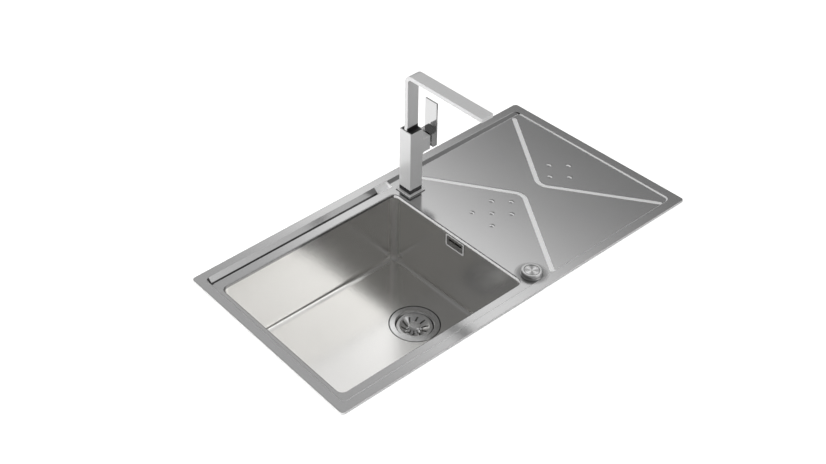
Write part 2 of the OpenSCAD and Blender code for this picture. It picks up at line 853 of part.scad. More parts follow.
// Strainer basket: rim, dished floor with curved slots, and a domed centre to grip
basket_rim_t = 1.2;
basket_cup_r = 34;
basket_floor_r = 15;
basket_depth = 10;
dome_r = 14;
dome_top_r = 11;
basket_t = 1.5;
slot_w = 4;
slot_from = 17;
slot_arc_r = 20;
basket_z = ledge_z + gap + flange_screw_r;
basket_low = basket_z - basket_depth;
dome_z = basket_z + basket_rim_t + 1.2 * basket_rim_t;
module strainer_basket() {
    t = basket_t;
    color([0.78, 0.78, 0.77]) translate([waste.x, waste.y, 0]) difference() {
        rotate_extrude() polygon([
            [0, dome_z], [dome_top_r, dome_z], [dome_r, dome_z - t], [basket_floor_r + t, basket_low + t],
            [basket_cup_r, basket_z + basket_rim_t], [basket_r, basket_z + basket_rim_t],
            [basket_r, basket_z], [basket_cup_r + t, basket_z], [basket_floor_r + t, basket_low],
            [basket_floor_r, basket_low], [dome_r - t, dome_z - 2 * t], [dome_top_r - t / 2, dome_z - t],
            [0, dome_z - t]]);
        for (k = [0:basket_slots - 1]) rotate(360 * k / basket_slots)
            translate([slot_from + t, -slot_arc_r, basket_low - over])
            rotate(55) rotate_extrude(angle = 40) translate([slot_arc_r, 0])
            square([slot_w, basket_depth + 2 * basket_rim_t + 2 * over]);
    }
}

// Pop-up lifter under the basket and the crank that raises it
crank_x = -20;
crank_r = 2.5;
crank_z = stub_z - 7.8;
crank_arm_t = 4;
crank_ball_r = 3;
crank_lever_l = 22;
pin_low = crank_z + crank_ball_r + gap;
pin_top = dome_z - basket_t - gap;
module lifter_pin() {
    color([0.75, 0.75, 0.74]) translate(waste) disc(pin_r, pin_low, pin_top);
}

module lifter_crank() {
    color([0.72, 0.72, 0.7]) translate([waste.x, waste.y, crank_z]) {
        translate([crank_x, 0, 0]) rod_y(crank_r, -cup_r - crank_arm_t - gap, crank_arm_t / 2);
        translate([crank_x, 0, 0]) rod_y(2 * crank_r, -crank_arm_t / 2, crank_arm_t / 2);
        along_y(-crank_arm_t / 2, crank_arm_t / 2) polygon([
            [crank_x, -crank_r], [crank_x, crank_r], [0, crank_ball_r / 2], [0, -crank_ball_r / 2]]);
        sphere(crank_ball_r);
        translate([crank_x, 0, 0]) {
            rod_y(2 * crank_r, -cup_r - crank_arm_t - gap, -cup_r - gap);
            translate([0, -cup_r - crank_arm_t - gap, -crank_lever_l])
                translate([-crank_r, 0, 0]) cube([2 * crank_r, crank_arm_t, crank_lever_l]);
        }
    }
}

// Waste knob: gasket, bezel, spindle with its cable drum, knob, washer, nut and housing
bezel_gasket_t = 0.6;
bezel_r = 23.5;
bezel_t = 2.4;
bezel_skirt_r = 16.8;
bezel_skirt_l = 22;
spindle_r = 6;
drum_r = 14;
drum_t = 10;
knob_nut_r = 24;
knob_nut_t = 7;
knob_washer_r = 23;
knob_washer_t = 1.5;
knob_shell_t = 2;
knob_disc_r = 16;
knob_disc_sink = 0.4;
knob_disc_t = 1.5;
knob_round = 2.5;
knob_box_l = 44;
knob_box_w = 36;
knob_box_h = 26;
knob_box_t = 2;
cable_bore_r = 3;
gland_r = 6;
gland_l = 12;
bezel_low = deck_z + bezel_gasket_t;
bezel_top = bezel_low + bezel_t;
skirt_low = deck_z - bezel_skirt_l;
spindle_low = skirt_low - 2 * knob_box_t;
drum_low = spindle_low - drum_t;
knob_low = bezel_top + gap;
knob_top = knob_low + knob_h;
disc_low = knob_top - knob_disc_sink - knob_disc_t;

module bezel_gasket() {
    color([0.15, 0.15, 0.15]) translate(dial) ring(knob_r - gap, knob_hole_r + gap, deck_z, bezel_low);
}

module knob_bezel() {
    soft = bezel_t / 2;
    color([0.62, 0.62, 0.61]) translate(dial) difference() {
        union() {
            rotate_extrude() polygon([
                [0, bezel_low], [bezel_r, bezel_low], [bezel_r, bezel_top - soft],
                [bezel_r - soft, bezel_top], [0, bezel_top]]);
            disc(bezel_skirt_r, skirt_low, bezel_low);
        }
        disc(spindle_r + run_fit, skirt_low - over, bezel_top + over);
    }
}

module knob_spindle() {
    flat = spindle_r / 3;
    color([0.7, 0.7, 0.7]) translate(dial) {
        disc(spindle_r, spindle_low, bezel_top + gap / 2);
        difference() {
            disc(spindle_r - flat, bezel_top, disc_low - knob_shell_t);
            translate([spindle_r - 1.5 * flat, -spindle_r, bezel_top + gap]) cube(2 * spindle_r);
        }
        difference() {
            disc(drum_r, drum_low, spindle_low);
            translate([0, 0, drum_low + drum_t / 2]) rotate_extrude()
                translate([drum_r, 0]) circle(cable_bore_r / 2);
        }
    }
}

module knob() {
    flat = spindle_r / 3;
    r = knob_round;
    color([0.72, 0.72, 0.71]) translate(dial) difference() {
        rotate_extrude() {
            translate([0, knob_low]) square([knob_r, knob_h - r]);
            translate([0, knob_low]) square([knob_r - r, knob_h]);
            translate([knob_r - r, knob_top - r]) circle(r);
        }
        disc(knob_disc_r + run_fit, disc_low, knob_top + over);
        ring(knob_r - knob_shell_t, spindle_r, knob_low - over, disc_low - knob_shell_t);
        difference() {
            disc(spindle_r - flat + run_fit, knob_low - over, disc_low - knob_shell_t);
            translate([spindle_r - 1.5 * flat + run_fit, -spindle_r, knob_low])
                cube(2 * spindle_r);
        }
    }
}

module knob_disc() {
    color([0.85, 0.85, 0.84]) translate(dial) difference() {
        disc(knob_disc_r, disc_low, disc_low + knob_disc_t);
        disc(knob_disc_r - knob_disc_t, disc_low + knob_disc_t - knob_disc_sink, knob_top);
    }
}

module knob_washer() {
    color([0.2, 0.2, 0.2]) translate(dial)
        ring(knob_washer_r, bezel_skirt_r + bolt_fit, under_deck - knob_washer_t, under_deck);
}

module knob_nut() {
    top = under_deck - knob_washer_t;
    color([0.85, 0.85, 0.83]) translate(dial) difference() {
        union() {
            disc(knob_nut_r - knob_nut_t / 4, top - knob_nut_t, top);
            for (a = [0:45:359]) rotate(a)
                translate([knob_nut_r - knob_nut_t / 2, 0, 0]) disc(knob_nut_t / 2, top - knob_nut_t, top);
        }
        disc(bezel_skirt_r, top - knob_nut_t - over, top + over);
    }
}

module knob_housing() {
    low = skirt_low - knob_box_h;
    color([0.85, 0.85, 0.83]) translate(dial) difference() {
        union() {
            block(knob_box_l, knob_box_w, housing_r, low, skirt_low);
            translate([0, 0, drum_low + drum_t / 2])
                rod_y(gland_r, knob_box_w / 2 - knob_box_t, knob_box_w / 2 + gland_l);
        }
        block(knob_box_l - 2 * knob_box_t, knob_box_w - 2 * knob_box_t, housing_r - knob_box_t,
            low + knob_box_t, skirt_low - knob_box_t);
        disc(spindle_r + bolt_fit, skirt_low - 2 * knob_box_t, skirt_low + over);
        translate([-drum_r, 0, drum_low + drum_t / 2])
            rod_y(0.75 * cable_bore_r, 0, knob_box_w / 2 + gland_l + over);
        translate([0, 0, drum_low + drum_t / 2])
            rod_y(cable_bore_r, 0, knob_box_w / 2 + gland_l + over);
    }
}

// Tap: base, fixings through the deck, column, side housing
tap_seal_t = 0.8;
foot_inset = 0.3;
shank_r = 16.5;
shank_low = under_deck + gap;
inlet_bore_r = 4.5;
inlet_l = 24;
inlet_at_x = 8;
inlet_at_y = -5;
stud_r = 4;
stud_y = 9;
stud_l = 64;
stud_in = 10;
shoe_r = 21;
shoe_rubber_t = 2.5;
shoe_plate_t = 2;
shoe_slot_w = 26;
nut_w = 6.5;
nut_t = 9.5;
plate_low = deck_z + tap_seal_t;
plate_top = plate_low + base_t;
foot_top = plate_top + foot_h;
column_z = deck_z + column_top;
axis_z = deck_z + lever_axis_h;
edge_soft = 0.8;
housing_fillet_r = 8;
half_col = column_w / 2;
housing_end = half_col + housing_l;
cart_bore_r = 15;
cart_start = 4;
swivel_r = 14;
swivel_l = 27;
swivel_z = column_z - swivel_l;
duct_r = 6;
water_r = 3;

module tap_base_seal() {
    color([0.1, 0.1, 0.1]) translate(tap) difference() {
        block(base_w - 2 * edge_soft, base_w - 2 * edge_soft, edge_soft, deck_z, plate_low);
        disc(tap_hole_r, deck_z - over, plate_low + over);
    }
}

module tap_base_plate() {
    color([0.8, 0.8, 0.8]) translate(tap) difference() {
        block(base_w, base_w, edge_soft, plate_low, plate_top);
        disc(shank_r + bolt_fit, plate_low - over, plate_top + over);
    }
}

module base_collar() {
    w = column_w - 2 * foot_inset;
    color([0.2, 0.2, 0.21]) translate(tap) difference() {
        block(w, w, edge_soft, plate_top, foot_top);
        disc(shank_r + bolt_fit, plate_top - over, foot_top + over);
    }
}

// Square prism along X with softened edges, for the side housing
module side_block(w, h, r, x0, x1) {
    translate([x0, 0, axis_z]) rotate([90, 0, 90]) linear_extrude(x1 - x0) rrect(w, h, r);
}

module tap_body() {
    fillet = housing_fillet_r;
    color([0.85, 0.85, 0.86]) translate(tap) difference() {
        union() {
            block(column_w, column_w, edge_soft, foot_top, column_z);
            disc(shank_r, shank_low, foot_top);
            side_block(column_w, housing_h, edge_soft, 0, housing_end);
            // Concave fillet under the housing, against the column
            translate([half_col, 0, axis_z - housing_h / 2]) difference() {
                along_y(-half_col + edge_soft, half_col - edge_soft)
                    polygon([[-over, over], [-over, -fillet], [0, -fillet], [fillet, 0], [fillet, over]]);
                translate([fillet, 0, -fillet]) rod_y(fillet, -column_w, column_w);
            }
        }
        rod_x_at(axis_z, cart_bore_r, cart_start, housing_end + over);
        disc(swivel_r, swivel_z, column_z + over);
        for (s = [-1, 1]) translate([s * inlet_at_x, inlet_at_y, 0])
            disc(inlet_bore_r, shank_low - over, shank_low + inlet_l);
        translate([0, stud_y, 0]) disc(stud_r + run_fit, shank_low - over, shank_low + stud_in + over);
        // Waterways: the two inlets up to the cartridge, and from it to the spout
        for (s = [-1, 1]) translate([s * inlet_at_x, inlet_at_y, 0])
            disc(water_r, shank_low, s < 0 ? axis_z : axis_z - cart_bore_r + 2 * over);
        translate([0, inlet_at_y, 0]) rod_x_at(axis_z, water_r, -inlet_at_x, cart_start + over);
        disc(duct_r, axis_z + water_r + 2 * over, swivel_z + over);
        translate([0, 0, swivel_z + grub_up]) rod_y(grub_r, swivel_r - over, half_col + over);
    }
}

// Cylinder along X at a height
module rod_x_at(z, r, x0, x1) {
    translate([0, 0, z]) rod_x(r, x0, x1);
}

module fixing_stud() {
    color([0.78, 0.7, 0.4]) translate([tap.x, tap.y + stud_y, 0])
        disc(stud_r, shank_low + stud_in - stud_l, shank_low + stud_in);
}

module horseshoe(t, top) {
    translate([tap.x, tap.y + stud_y / 2, 0]) difference() {
        disc(shoe_r, top - t, top);
        translate([-shoe_slot_w / 2, -shoe_r - over, top - t - over])
            cube([shoe_slot_w, shoe_r + over, t + 2 * over]);
        translate([0, stud_y / 2, 0]) disc(stud_r + bolt_fit, top - t - over, top + over);
    }
}

module horseshoe_rubber() {
    color([0.15, 0.15, 0.15]) horseshoe(shoe_rubber_t, under_deck);
}

module horseshoe_plate() {
    color([0.7, 0.7, 0.68]) horseshoe(shoe_plate_t, under_deck - shoe_rubber_t);
}

module stud_nut() {
    top = under_deck - shoe_rubber_t - shoe_plate_t;
    color([0.78, 0.7, 0.4]) translate([tap.x, tap.y + stud_y, top - nut_t]) difference() {
        cylinder(r = nut_w / cos(30), h = nut_t, $fn = 6);
        translate([0, 0, -over]) cylinder(r = stud_r, h = nut_t + 2 * over);
    }
}

// Spout swivel: bush in the column, stub of the spout, two ring seals, retaining screw
stub_swivel_r = 12;
bush_l = 14;
grub_up = 8;
grub_r = 2;
groove_r = 10.5;
groove_l = 6;
ring_seal_t = 1.6;
module swivel_bush() {
    color([0.9, 0.9, 0.88]) translate(tap)
        ring(swivel_r, stub_swivel_r + run_fit, column_z - bush_l, column_z);
}

module swivel_rings() {
    color([0.1, 0.1, 0.1]) translate(tap) for (z = [swivel_z + gap, swivel_z + gap + ring_seal_t])
        ring(swivel_r, stub_swivel_r + run_fit, z, z + ring_seal_t - gap);
}

module spout_screw() {
    color([0.6, 0.6, 0.6]) translate([tap.x, tap.y, swivel_z + grub_up])
        rod_y(grub_r, groove_r + gap, half_col - edge_soft);
}

// Flat tube: riser, bend and arm in one, drawn as a profile in Y and Z
aerator_r = 10;
aerator_in = 16;
aerator_t = 6.5;
aerator_sink = 7;
wall = 1.5;
module spout_path(inset, tip) {
    half = spout_t / 2 - inset;
    arm_low = deck_z + spout_h + inset;
    arm_top = deck_z + spout_h + spout_t - inset;
    bend = spout_bend_r + inset;
    outer = spout_bend_r + spout_t - inset;
    hub_y = -spout_t / 2 - spout_bend_r;
    hub_z = deck_z + spout_h - spout_bend_r;
    translate([-half, column_z + gap + inset]) square([2 * half, hub_z - column_z - gap - inset]);
    translate([-spout_reach + tip, arm_low]) square([spout_reach - tip + hub_y, arm_top - arm_low]);
    intersection() {
        translate([hub_y, hub_z]) difference() {
            circle(outer, $fn = 96);
            circle(bend, $fn = 96);
        }
        translate([hub_y, hub_z]) square(2 * outer);
    }
}

module spout() {
    low = deck_z + spout_h;
    color([0.86, 0.86, 0.87]) translate(tap) difference() {
        union() {
            along_x(-spout_w / 2, spout_w / 2) spout_path(0, 0);
            difference() {
                disc(stub_swivel_r, swivel_z + gap, column_z + gap);
                ring(stub_swivel_r + over, groove_r, swivel_z + grub_up - groove_l / 2,
                    swivel_z + grub_up + groove_l / 2);
            }
        }
        along_x(-spout_w / 2 + wall, spout_w / 2 - wall) spout_path(wall, wall);
        disc(spout_t / 2 - wall, swivel_z, column_z + 2 * spout_t);
        translate([0, -spout_reach + aerator_in, 0]) disc(aerator_r + run_fit, low - over, low + aerator_sink);
    }
}

module aerator() {
    low = deck_z + spout_h;
    color([0.5, 0.5, 0.5]) translate([tap.x, tap.y - spout_reach + aerator_in, 0]) difference() {
        disc(aerator_r, low + gap, low + aerator_sink);
        disc(aerator_r - wall, low, low + aerator_t / 2);
        for (a = [0:60:359]) rotate(a) translate([aerator_r / 2, 0, 0])
            disc(wall, low, low + aerator_sink + over);
    }
}

// Mixer: cartridge in the side housing, its nut, the turning carrier and the stem
cart_r = 14.7;
cart_len = 29.7;
cart_nut_r = 14.9;
cart_nut_l = 7;
neck_gap = 4.5;
turret_r = 9.5;
turret_l = 14;
stem_w = 6.6;
stem_h = 8;
stem_clear = 0.2;
stem_start = 33;
stem_end = 56;
lever_pin_r = 1.5;
lever_pin_x = 39;
turret_slot_h = 15;
cart_end = cart_start + gap + cart_len;
block_start = housing_end + neck_gap;
block_end = block_start + block_t;
turret_end = housing_end + run_fit * 10;
turret_start = turret_end - turret_l;

module mixer() {
    translate([tap.x, tap.y, axis_z]) children();
}

module cartridge() {
    color([0.85, 0.86, 0.88]) mixer() difference() {
        rod_x(cart_r, cart_start + gap, cart_end);
        rod_x(turret_r + run_fit, turret_start - gap, cart_end + over);
    }
}

module cartridge_nut() {
    color([0.12, 0.12, 0.13]) mixer() difference() {
        rod_x(cart_nut_r, cart_end + gap, cart_end + gap + cart_nut_l);
        rod_x(turret_r + run_fit, cart_end, cart_end + gap + cart_nut_l + over);
    }
}

module mixer_carrier() {
    color([0.3, 0.3, 0.32]) mixer() difference() {
        rod_x(turret_r, turret_start, turret_end);
        translate([stem_start - 5 * gap, -stem_w / 2 - stem_clear, -turret_slot_h / 2])
            cube([turret_l, stem_w + 2 * stem_clear, turret_slot_h]);
        translate([lever_pin_x, 0, 0]) rod_y(lever_pin_r, -turret_r - over, turret_r + over);
    }
}

module lever_stem() {
    color([0.6, 0.6, 0.62]) mixer() difference() {
        translate([stem_start, -stem_w / 2, -stem_h / 2]) cube([stem_end - stem_start, stem_w, stem_h]);
        translate([lever_pin_x, 0, 0]) rod_y(lever_pin_r + run_fit, -stem_w, stem_w);
    }
}

module lever_pin() {
    color([0.7, 0.7, 0.7]) mixer() translate([lever_pin_x, 0, 0])
        rod_y(lever_pin_r, -turret_r + wall, turret_r - wall);
}

lever_screw_r = 2;
chamfer_h = 9;
chamfer_w = 5;
module lever_handle() {
    low = -housing_h / 2;
    bottom_out = block_start + chamfer_w;
    color([0.88, 0.88, 0.89]) mixer() difference() {
        along_y(-half_col, half_col) polygon([
            [block_start, low + chamfer_h], [bottom_out, low],
            [block_end + blade_t, low], [block_end + blade_t, low + lever_h],
            [block_end, low + lever_h], [block_end, -low], [block_start, -low]]);
        translate([block_start - over, -stem_w / 2, -stem_h / 2])
            cube([stem_end - block_start + over, stem_w, stem_h]);
        translate([(stem_end + block_start) / 2 + wall, 0, 0])
            disc(lever_screw_r, low - over, -stem_h / 2 + over);
    }
}

module lever_screw() {
    color([0.5, 0.5, 0.5]) mixer() translate([(stem_end + block_start) / 2 + wall, 0, 0])
        disc(lever_screw_r, -housing_h / 2 + chamfer_h, -stem_h / 2);
}

deck();
bowl();
edge_seal();
clip_brackets();
clip_claws();
clip_screws();
earth_tag();
bowl_pad();
drainer_pads();
overflow_plate();
overflow_gasket();
overflow_housing();
overflow_pipe();
overflow_nuts();
overflow_washers();
flange_gasket();
waste_flange();
flange_screws();
body_gasket();
waste_body();
basket_seal();
strainer_basket();
lifter_pin();
lifter_crank();
bezel_gasket();
knob_bezel();
knob_spindle();
knob();
knob_disc();
knob_washer();
knob_nut();
knob_housing();
tap_base_seal();
tap_base_plate();
base_collar();
tap_body();
fixing_stud();
horseshoe_rubber();
horseshoe_plate();
stud_nut();
swivel_bush();
swivel_rings();
spout_screw();
spout();
aerator();
cartridge();
cartridge_nut();
mixer_carrier();
lever_stem();
lever_pin();
lever_handle();
lever_screw();
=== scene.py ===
# %% [markdown]
# A kitchen sink with a drainboard and a mixer tap, set into a white floor that has a hole for it.
# The construction comes packed as a frame of named pieces; this script gives every piece its finish,
# softens the edges that catch the light, and sets up camera, light and floor.

# %% Load the frame
import json
from math import cos, radians, sin

import bmesh
import bpy
from mathutils import Matrix, Vector


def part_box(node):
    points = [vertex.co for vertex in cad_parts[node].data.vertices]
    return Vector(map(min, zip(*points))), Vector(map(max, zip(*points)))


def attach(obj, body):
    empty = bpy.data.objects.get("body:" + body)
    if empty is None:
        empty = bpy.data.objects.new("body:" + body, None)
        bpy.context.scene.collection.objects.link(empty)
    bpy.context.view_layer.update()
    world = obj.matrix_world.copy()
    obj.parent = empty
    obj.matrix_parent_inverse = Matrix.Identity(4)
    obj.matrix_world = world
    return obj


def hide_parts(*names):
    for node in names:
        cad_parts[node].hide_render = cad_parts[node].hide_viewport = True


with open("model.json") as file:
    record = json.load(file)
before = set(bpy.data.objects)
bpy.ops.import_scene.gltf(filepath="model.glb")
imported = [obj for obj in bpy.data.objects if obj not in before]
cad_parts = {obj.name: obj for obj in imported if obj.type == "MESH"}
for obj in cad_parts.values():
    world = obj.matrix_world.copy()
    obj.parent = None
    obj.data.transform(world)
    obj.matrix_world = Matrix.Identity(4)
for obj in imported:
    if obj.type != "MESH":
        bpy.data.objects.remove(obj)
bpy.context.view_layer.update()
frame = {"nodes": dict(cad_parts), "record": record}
nodes = frame["nodes"]
mm = 0.001
print("pieces from the frame:", len(nodes))

# %% [markdown]
# The camera stands where the photographer's did: the rim's corners, the bowl and the upright tap fixed its
# place, its three angles and its focal length. The picture's centre isn't the lens axis, so the camera is
# shifted, as an architect's lens is.

# %% Camera
IMAGE_W = 826
IMAGE_H = 464
FOCAL_PX = 1300.9
LENS_AXIS_PX = (180, 150)
SEE_TO = 50
camera_turn = radians(30.586)
camera_dip = radians(36.22)
camera_roll = radians(6.732)
camera_place = Vector((-1580.3, -1341.6, 1923.5)) * mm

heading = Vector((sin(camera_turn), cos(camera_turn), 0))
forward = heading * cos(camera_dip) - Vector((0, 0, sin(camera_dip)))
level = Vector((cos(camera_turn), -sin(camera_turn), 0))
down = forward.cross(level)
across = level * cos(camera_roll) + down * sin(camera_roll)
upright = level * sin(camera_roll) - down * cos(camera_roll)

lens = bpy.data.cameras.new("camera")
lens.sensor_width = 36
lens.lens = FOCAL_PX / IMAGE_W * lens.sensor_width
lens.shift_x = (IMAGE_W / 2 - LENS_AXIS_PX[0]) / IMAGE_W
lens.shift_y = (LENS_AXIS_PX[1] - IMAGE_H / 2) / IMAGE_W
lens.clip_end = SEE_TO
camera = bpy.data.objects.new("camera", lens)
bpy.context.collection.objects.link(camera)
axes_of_view = Matrix((across, upright, -forward)).transposed()
camera.matrix_world = Matrix.Translation(camera_place) @ axes_of_view.to_4x4()
bpy.context.scene.camera = camera
print("camera", round(lens.lens, 1), "mm, shift", round(lens.shift_x, 3), round(lens.shift_y, 3))

# %% [markdown]
# Materials are written as sums on sockets. One small class holds a socket, and plus, minus, times and
# compare add the Math nodes, so a pattern reads like a formula.

# %% A socket that does sums
class Socket:
    """A shader socket on which Python's operators add Math nodes."""

    def __init__(self, tree, link):
        self.tree = tree
        self.link = link

    def maths(self, operation, *others):
        return add_node(self.tree, "ShaderNodeMath", self, *others, operation=operation)

    def __add__(self, other):
        return self.maths("ADD", other)

    def __sub__(self, other):
        return self.maths("SUBTRACT", other)

    def __rsub__(self, other):
        return self.maths("MULTIPLY", -1).maths("ADD", other)

    def __mul__(self, other):
        return self.maths("MULTIPLY", other)

    def __rmul__(self, other):
        return self.maths("MULTIPLY", other)

    def __gt__(self, other):
        return self.maths("GREATER_THAN", other)

    def __lt__(self, other):
        return self.maths("LESS_THAN", other)


def plug(tree, entry, value):
    """Link a sum to a node's input, or set the input to a constant."""
    if isinstance(value, Socket):
        tree.links.new(value.link, entry)
    else:
        entry.default_value = value


def add_node(tree, kind, *values, output=0, **settings):
    """One node: its settings first, then its inputs in order, or by name from a dictionary."""
    made = tree.nodes.new(kind)
    for name, value in settings.items():
        setattr(made, name, value)
    pairs = list(enumerate(values))
    if values and isinstance(values[-1], dict):
        pairs = pairs[:-1] + list(values[-1].items())
    for key, value in pairs:
        plug(tree, made.inputs[key], value)
    return Socket(tree, made.outputs[output])


# %% [markdown]
# A finish often changes at a place on the piece: a groove, a ring, a corner. The places are told in
# millimetres on the object's own axes, and measured from the boxes of the frame's pieces, so a zone moves
# with the piece that it belongs to.

# %% Places, noise and colours
def axes(tree, scale=(1, 1, 1)):
    """Object coordinates, stretched."""
    place = add_node(tree, "ShaderNodeTexCoord", output="Object")
    return add_node(tree, "ShaderNodeMapping", {"Vector": place, "Scale": scale})


def part_of(place, axis):
    """One coordinate of a point, as a number."""
    return add_node(place.tree, "ShaderNodeSeparateXYZ", place, output=axis)


def places_mm(tree):
    """A point's three coordinates in millimetres."""
    place = axes(tree, (1 / mm, 1 / mm, 1 / mm))
    return [part_of(place, axis) for axis in "XYZ"]


def box_mm(name):
    """The lowest and the highest corner of a frame piece in millimetres."""
    return [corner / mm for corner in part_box(name)]


def between(value, low, high):
    """One where a coordinate lies between two lengths, else nothing."""
    return (value > low) * (value < high)


def from_axis(tree, name):
    """A point's distance from the upright axis of a piece, and its angle round that axis."""
    low, high = box_mm(name)
    along, back, height = places_mm(tree)
    along = along - (low.x + high.x) / 2
    back = back - (low.y + high.y) / 2
    return (along * along + back * back).maths("SQRT"), back.maths("ARCTAN2", along)


def noise(tree, scale, detail=2, stretch=(1, 1, 1)):
    place = axes(tree, stretch)
    return add_node(tree, "ShaderNodeTexNoise", {"Vector": place, "Scale": scale, "Detail": detail})


def mix(tree, factor, a, b):
    """A colour between two colours."""
    return add_node(tree, "ShaderNodeMix", {0: factor, 6: a, 7: b}, output=2, data_type="RGBA")


def grey(level, warm=0):
    return (level, level * (1 - 0.3 * warm), level * (1 - warm), 1)


deck_low, deck_high = box_mm("deck")
bowl_low, bowl_high = box_mm("bowl")
print("deck", [round(side) for side in deck_high - deck_low], "mm")
print("bowl", [round(side) for side in bowl_high - bowl_low], "mm")

# %% [markdown]
# Satin sheet steel: a belt grinds it along its length, so the grain is a noise drawn out sixtyfold in X.
# The grain moves the roughness and a very slight bump; the colour stays that of the metal.

# %% Satin steel
GRAIN_SCALE = 40
CLOUD_SCALE = 6
TONE_SPREAD = 0.07
STEEL_BUMP = 0.2 * mm
finish = {}


class Finish:
    """A material in the making, with its node tree and its surface shader."""

    def __init__(self, name):
        self.material = bpy.data.materials.new(name)
        self.material.use_nodes = True
        self.tree = self.material.node_tree
        self.surface = self.tree.nodes["Principled BSDF"]

    def feed(self, inputs):
        """Give inputs of the surface their sums or constants."""
        for name, value in inputs.items():
            plug(self.tree, self.surface.inputs[name], value)

    def keep(self, slot):
        """File the finish under a slot's name."""
        finish[slot] = self.material
        print(slot, "has", len(self.tree.nodes), "nodes")


def grained(lines, rough, grain=0.06):
    """A roughness that the grain moves up and down."""
    return lines * grain + (rough - grain / 2)


def bumped(tree, height, strength, distance):
    return add_node(tree, "ShaderNodeBump", {"Strength": strength, "Distance": distance, "Height": height})


def satin_steel(name, level, rough, grain=0.06, warm=0.0, stretch=(1, 60, 60), relief=0.02):
    steel = Finish(name)
    steel.lines = noise(steel.tree, GRAIN_SCALE, 3, stretch)
    tone = steel.lines * 0.5 + noise(steel.tree, CLOUD_SCALE) * 0.5
    darker, lighter = (grey(level * (1 + change), warm) for change in (-TONE_SPREAD, TONE_SPREAD))
    steel.colour = mix(steel.tree, tone, darker, lighter)
    steel.feed({"Base Color": steel.colour, "Metallic": 1, "Roughness": grained(steel.lines, rough, grain),
                "Normal": bumped(steel.tree, steel.lines, relief, STEEL_BUMP)})
    return steel


satin_steel("polished_steel", level=0.85, rough=0.17, grain=0.04, relief=0.01).keep("polished_steel")
satin_steel("basket_steel", level=0.92, rough=0.22, grain=0.04, relief=0.01).keep("basket_steel")
satin_steel("lever_chrome", level=0.6, rough=0.07, grain=0.02, relief=0.0).keep("lever_chrome")

# %% [markdown]
# The sheet is one piece of steel with many small faces. The rim is brushed; the steep steps and the grooves'
# bottoms get a painted highlight, pale and matt in colour; the pips get a painted sheen; the rear slope gets
# a painted dark reflection; and the bowl's edge a painted pale line. Each is a zone, told by its place and
# its depth under the rim's top.

# %% Zones of the sheet, measured from the bowl's and the deck's boxes
SHEET_ROUGH = 0.16
RIM_DEPTH = 0.8
STEP_DEPTHS = (0.15, 2.85)
GROOVE_DEPTHS = (3.25, 3.92)
BEND_DEPTHS = (4.1, 14)
drainer_x = (bowl_high.x + 14, deck_high.x)
pips_x = (bowl_high.x + 24, deck_high.x - 40)
pips_y = (deck_low.y + 45, deck_high.y - 55)
rear_slope_y = (deck_high.y - 36.8, deck_high.y - 20.8)
bowl_edge_x = (bowl_high.x - 6, bowl_high.x + 4)
bowl_edge_y = (bowl_low.y - 4.3, bowl_high.y + 4.7)
print("drainer from", drainer_x[0], "to", drainer_x[1], "mm")


def in_zones(steel, zones):
    """Colour, metal and roughness, zone over zone. Each zone is (where, grey level, metal, roughness)."""
    metal = 1
    rough = grained(steel.lines, SHEET_ROUGH)
    for where, level, zone_metal, zone_rough in zones:
        steel.colour = mix(steel.tree, where, steel.colour, grey(level))
        metal = metal * (1 - where) + where * zone_metal
        rough = rough * (1 - where) + where * zone_rough
    return metal, rough


# %% [markdown]
# The channel behind the bowl holds a chopping board's foot. Its slope gets a painted reflection that runs
# from light at the left to dark at the tap, a painted shadow at its foot and its left end, and a pale painted
# highlight at its right end. Round the knob the sheet is a little duller, so it doesn't mirror the knob
# sharply.

# %% The sheet's steel
CHANNEL_DEPTH = 0.2
FOOT_DEPTH = 9
LEFT_END = 7
RIGHT_END = 36
KNOB_HAZE = 38
HAZE_FADE = 14
DULL = 0.5
channel_x = (bowl_low.x - 9, bowl_high.x + 12)
channel_y = (bowl_high.y + 20.7, deck_high.y - 21.8)


def deck_steel():
    steel = satin_steel("deck_steel", level=0.42, rough=SHEET_ROUGH)
    along, back, height = places_mm(steel.tree)
    depth = deck_high.z - height
    channel = between(along, *channel_x) * between(back, *channel_y) * (depth > CHANNEL_DEPTH)
    drainer = between(along, *drainer_x)
    pips = between(along, *pips_x) * between(back, *pips_y)
    step = between(depth, *STEP_DEPTHS) * (1 - channel)
    bowl_edge = between(along, *bowl_edge_x) * between(back, *bowl_edge_y)
    metal, rough = in_zones(steel, (
        (depth < RIM_DEPTH, 0.43, 1, SHEET_ROUGH),
        # Steep steps: a painted highlight, pale and not metallic.
        (step * (1 - pips), 0.9, 0, 0.5),
        # Rear slope: a painted dark reflection.
        (step * between(back, *rear_slope_y) * drainer, 0.15, 1, 0.25),
        # Pips: a painted sheen, brighter than the sheet.
        (step * pips, 0.8, 1, 0.2),
        # Grooves' bottoms: a painted highlight, pale.
        (between(depth, *GROOVE_DEPTHS) * drainer, 0.95, 1, 0.35),
        # Bowl's edge: a painted highlight, a pale line.
        (between(depth, *BEND_DEPTHS) * bowl_edge, 0.95, 0, 0.4)))

    # Painted shade in the channel: a dark foot and left end, a slope painted light to dark, a pale painted
    # right end.
    foot = ((depth > FOOT_DEPTH) + (along < channel_x[0] + LEFT_END)) > 0.5
    run = (along - channel_x[0]) * (1 / (channel_x[1] - channel_x[0]))
    slope = mix(steel.tree, run, grey(0.62), grey(0.22))
    channel_painted_shade = mix(steel.tree, foot, slope, grey(0.05))
    right_end = channel * (along > channel_x[1] - RIGHT_END)
    colour = mix(steel.tree, channel, steel.colour, channel_painted_shade)
    colour = mix(steel.tree, right_end, colour, grey(0.95))

    from_knob = from_axis(steel.tree, "knob")[0]
    haze = ((KNOB_HAZE - from_knob) * (1 / HAZE_FADE)).maths("MINIMUM", 1).maths("MAXIMUM", 0)
    steel.feed({"Base Color": colour, "Metallic": metal * (1 - right_end),
                "Roughness": rough * (1 - haze) + haze * DULL})
    return steel


